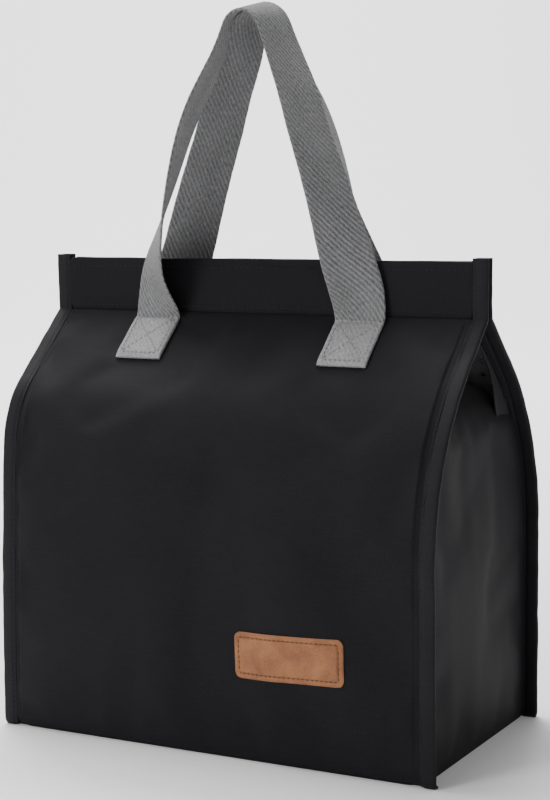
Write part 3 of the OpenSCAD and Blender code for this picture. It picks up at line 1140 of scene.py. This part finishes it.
def half_band(loop, hand, skin):
    """Middle points, directions across and half thicknesses of one leg, from its sewn
    end on the roof to the top of the crown."""
    side = loop.side
    seat = Seat(hand * TAB_X, side, skin)
    x = hand * TAB_X + loop.shift(hand, 0)
    middles, thick, turns = [], [], []
    for k in range(TAB_ROWS + 1):
        hit, normal = seat.spot(x, seat.end - TAB_RUN + TAB_RUN * k / TAB_ROWS)
        t = TAB_T / 2 * (0.62 + 0.38 * ease(k / 1.2)) * lerp(1, 0.75, ease((k - 14.5) / 1.5))
        middles.append(hit + normal * (t + 0.15 * MM))
        thick.append(t)
    for px, h in loop.half():
        if h < 3.2 * MM:
            continue
        middles.append((hand * px + loop.shift(hand, h), side * loop.depth(h), FOOT_Z + h))
        thick.append(WEB_T / 2)
        turns.append(loop.turn(hand, h))
    middles = np.array(middles)
    middles[TAB_ROWS:] = smoothed(middles[TAB_ROWS:], 2)
    tangents = unit(np.gradient(middles, axis=0))
    tangents[-1] = (-hand, 0, 0)
    acrosses = [np.array([1.0, 0, 0])] * (TAB_ROWS + 1)
    for t, turn in zip(tangents[TAB_ROWS + 1:], turns):
        level = unit(np.array([t[2], 0, -t[0]])) * hand
        across = (math.cos(turn) * level + math.sin(turn) * np.array([0, -side, 0.0])) * hand
        acrosses.append(unit(across - t * across.dot(t)))
    return middles, np.array(acrosses), thick


def make_loop(side, skin):
    """One webbing loop with its sewn ends, and the box stitches on them."""
    name = SIDE_NAME[side]
    loop = Loop(side)
    right, left = (half_band(loop, hand, skin) for hand in (RIGHT, LEFT))
    middles = np.concatenate([right[0], left[0][::-1][1:]])
    acrosses = np.concatenate([right[1], -left[1][::-1][1:]])
    thick = np.array(list(right[2]) + list(left[2][::-1][1:]))
    for k in range(1, len(acrosses)):
        if acrosses[k].dot(acrosses[k - 1]) < 0:
            acrosses[k] = -acrosses[k]
    count, flat_rings = 300, 20
    run = run_along(middles)
    marks = np.linspace(0, run[-1], count + 1)
    m = smoothed(sample(marks, run, middles), 2)
    a = smoothed(sample(marks, run, acrosses), 4)
    w = np.interp(marks, run, thick)
    t = unit(np.gradient(m, axis=0))
    rings = []
    for k in range(count + 1):
        across = unit(a[k] - t[k] * a[k].dot(t[k]))
        face = np.cross(across, t[k])
        cup = 0.35 * MM * wave(k * 0.11 + side)
        if not flat_rings < k < count - flat_rings:
            cup = 0.0
        ring = []
        for u, h in web_section(WEB_W / 2 + 0.12 * MM * wave(k * 0.6), w[k]):
            bow = cup * (1 - (2 * u / WEB_W) ** 2)
            ring.append(m[k] + across * u + face * (h + bow))
        rings.append(ring)
    piece = ring_object(name + "_carrying_loop", rings)
    half = run[-1] / 2
    for corner in piece.data.uv_layers["weave"].data:
        corner.uv.y = (corner.uv.y - half) * SEWN_V / (half - TAB_RUN)
    dress(piece, "webbing")
    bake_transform(piece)
    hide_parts(name + "_handle", name + "_handle_ends")
    seat = Seat(TAB_X, side, skin)
    lines = []
    for hand in (LEFT, RIGHT):
        cx = hand * TAB_X + loop.shift(hand, 0)
        half = WEB_W / 2 - 2.6 * MM
        corners = [(u, seat.end - down) for down in (29.5 * MM, 2.0 * MM) for u in (-half, half)]
        for start, end in ((0, 1), (2, 3), (0, 2), (1, 3), (0, 3), (2, 1)):
            (u0, s0), (u1, s1) = corners[start], corners[end]
            spots = [seat.spot(cx + lerp(u0, u1, k / 12), lerp(s0, s1, k / 12)) for k in range(13)]
            points = [hit + normal * (TAB_T + 0.22 * MM) for hit, normal in spots]
            outs = [normal for _, normal in spots]
            lines.append(stitch_line("box", points, outs, 2.2 * MM, 2.9 * MM, 0.8 * MM, 0.5 * MM))
    stitches = joined(name + "_loop_stitches", lines)
    dress(stitches, "thread_grey")
    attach(stitches, name + "_roof")
    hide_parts(name + "_handle_stitching")


# ---- studio
def aim(obj, target, roll=0.0):
    way = Vector(target) - obj.location
    obj.rotation_mode = "QUATERNION"
    turn = way.to_track_quat("-Z", "Y")
    obj.rotation_quaternion = turn @ Quaternion((0, 0, 1), math.radians(roll))


def make_camera():
    data = bpy.data.cameras.new("camera")
    data.sensor_fit = "AUTO"
    data.sensor_width = 36
    data.lens = 85.2
    data.shift_x = 0.0106
    data.shift_y = 0.1099
    data.clip_start = 0.05
    camera = linked("camera", data)
    camera.location = (0.5278, -0.9479, 0.3304)
    aim(camera, (0, 0, 0.140), -1.08)
    bpy.context.scene.camera = camera


def area_light(name, place, target, size, power):
    data = bpy.data.lights.new(name, "AREA")
    data.shape = "DISK"
    data.size = size
    data.energy = power
    light = linked(name, data)
    light.location = place
    aim(light, target)


def make_world():
    """Even soft light, brighter behind the bag than on its shaded right side."""
    world = bpy.data.worlds.new("studio")
    world.use_nodes = True
    tree = world.node_tree
    way = tree.nodes.new("ShaderNodeTexCoord")
    dot = tree.nodes.new("ShaderNodeVectorMath")
    dot.operation = "DOT_PRODUCT"
    dot.inputs[1].default_value = (-0.62, 0.78, 0.0)
    tree.links.new(way.outputs["Generated"], dot.inputs[0])
    level = tree.nodes.new("ShaderNodeMapRange")
    level.interpolation_type = "SMOOTHSTEP"
    set_range(level, 0.1, 0.75, 0.45, 1.3)
    tree.links.new(dot.outputs["Value"], level.inputs["Value"])
    ground = tree.nodes["Background"]
    ground.inputs[0].default_value = (1, 1, 1, 1)
    tree.links.new(level.outputs[0], ground.inputs[1])
    bpy.context.scene.world = world


def make_studio():
    """A white paper sweep that rises far behind the bag, and three soft lamps."""
    away, along = np.array([-0.48, 0.877]), np.array([0.877, 0.48])
    foot, r = 2.2, 1.2
    section = [(-9.0, 0.0), (foot, 0.0)]
    section += [(foot + r * math.sin(a), r - r * math.cos(a))
                for a in np.linspace(0, math.pi / 2, 13)[1:]]
    section.append((foot + r, 3.2))
    grid = [[(*(away * d + along * w), z) for w in (-7, 7)] for d, z in section]
    floor = grid_object("floor", grid, flip=True)
    floor.data.materials.append(paper_material("floor_paper", 0.95))
    make_world()
    area_light("key", (-0.9, -1.9, 1.1), (0, 0, 0.2), 0.8, 22)
    area_light("top", (-0.9, 0.5, 2.6), (-0.2, 0.2, 0.0), 2.2, 80)
    area_light("sweep", (-0.9, 1.3, 2.6), (-1.5, 2.9, 0.3), 1.6, 110)


make_camera()
make_studio()
for side in (FRONT, BACK):
    skin = make_panel(side)
    if side == FRONT:
        make_label(skin)
    make_loop(side, skin)
    make_lining(side)
    make_collar(side)
    make_flanges(side)
for hand in (LEFT, RIGHT):
    make_side(hand)
    for side in (FRONT, BACK):
        make_wings(hand, side)
        make_strip(hand, side)
        make_allowance(hand, side)
make_base()
